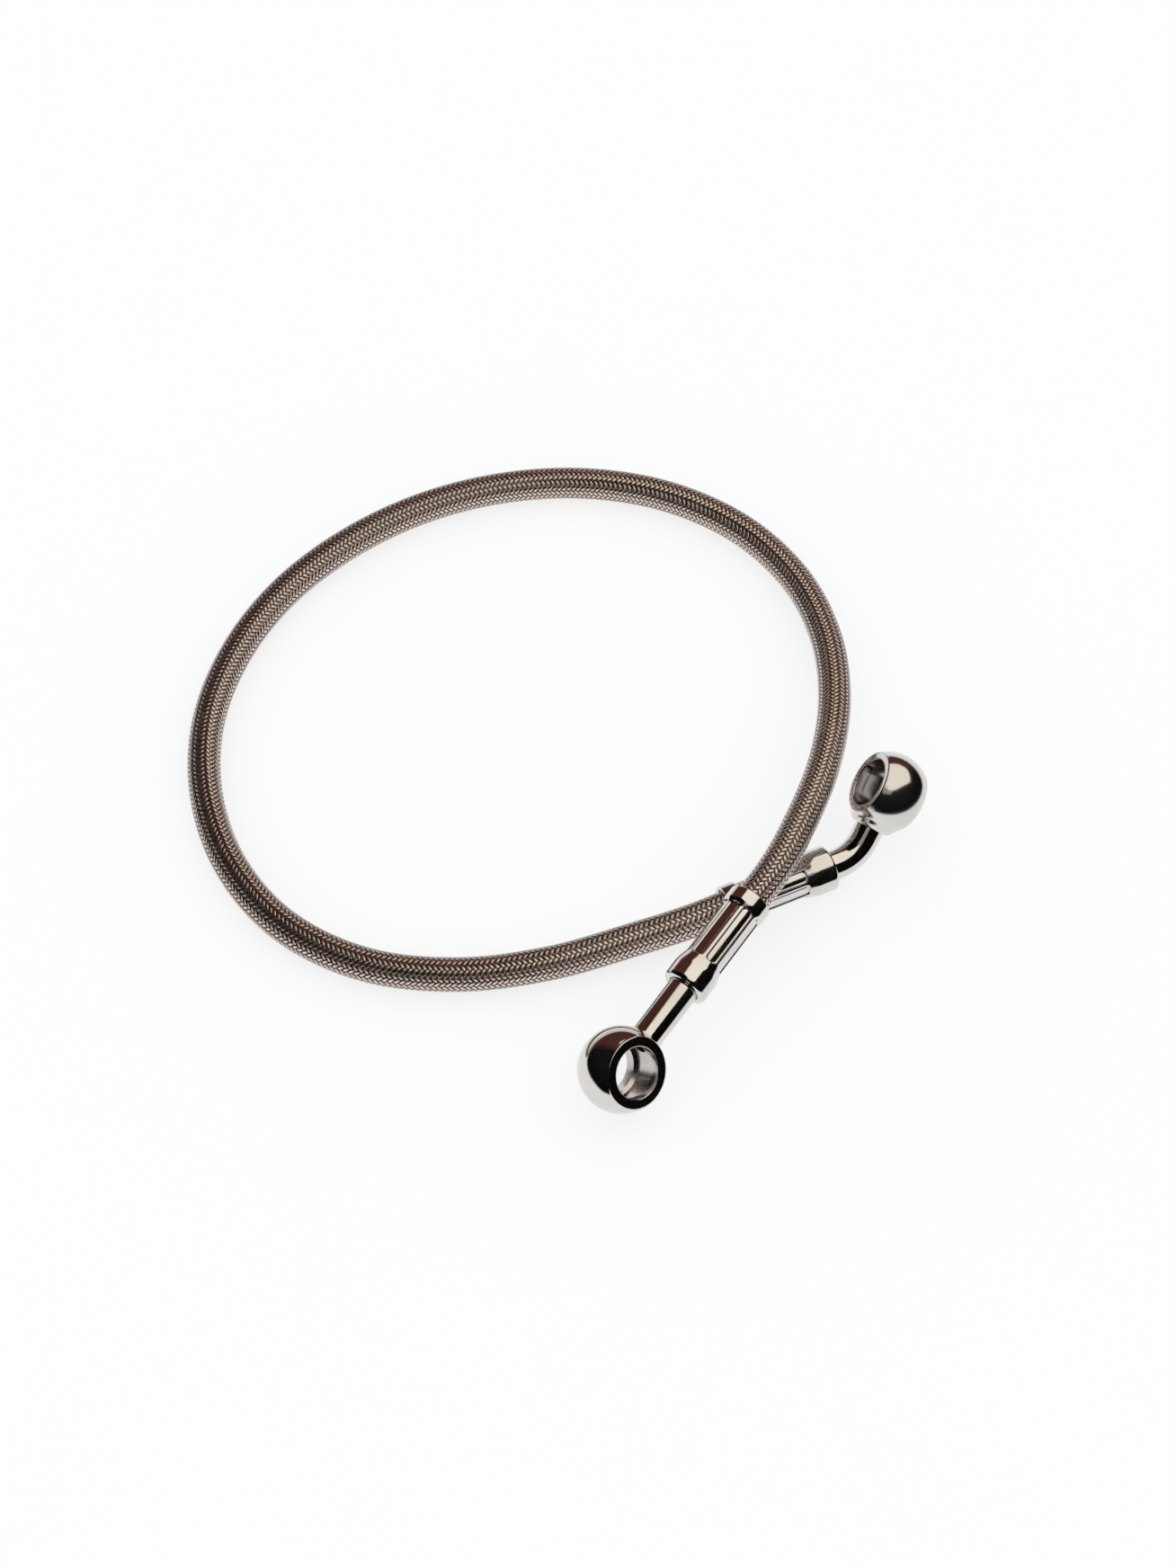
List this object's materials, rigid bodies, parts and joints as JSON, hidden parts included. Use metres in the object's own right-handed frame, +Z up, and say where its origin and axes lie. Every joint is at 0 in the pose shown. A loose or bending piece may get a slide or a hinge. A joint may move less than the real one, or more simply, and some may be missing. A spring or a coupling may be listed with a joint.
{
  "type": "brake line",
  "caption": "Flexible braided brake line with a crimped banjo fitting on each end, one straight and one bent, lying in a loop that crosses over itself.",
  "frame": {"origin": "centre of the line's outline as seen from above, on the surface that it lies on", "axes": "+Z up from the surface; +X from the far side of the loop towards the crossing and the two fittings; +Y from the straight end's eye towards the far side of the loop"},
  "size_m": [0.1532, 0.1505, 0.0212],
  "materials": {
    "fitting_steel": "mirror-bright polished stainless steel",
    "steel_braid": "fine bright stainless wire, plaited",
    "clear_cover": "smooth clear extruded plastic, glossy",
    "white_liner": "smooth milky white fluoropolymer tube"
  },
  "bodies": {
    "root": {"straight_banjo_eye": "fitting_steel", "straight_stem": "fitting_steel", "straight_ferrule": "fitting_steel", "bent_banjo_eye": "fitting_steel", "bent_stem": "fitting_steel", "bent_ferrule": "fitting_steel", "hose_cover": "clear_cover", "hose_braid": "steel_braid", "hose_liner": "white_liner"}
  },
  "joints": []
}
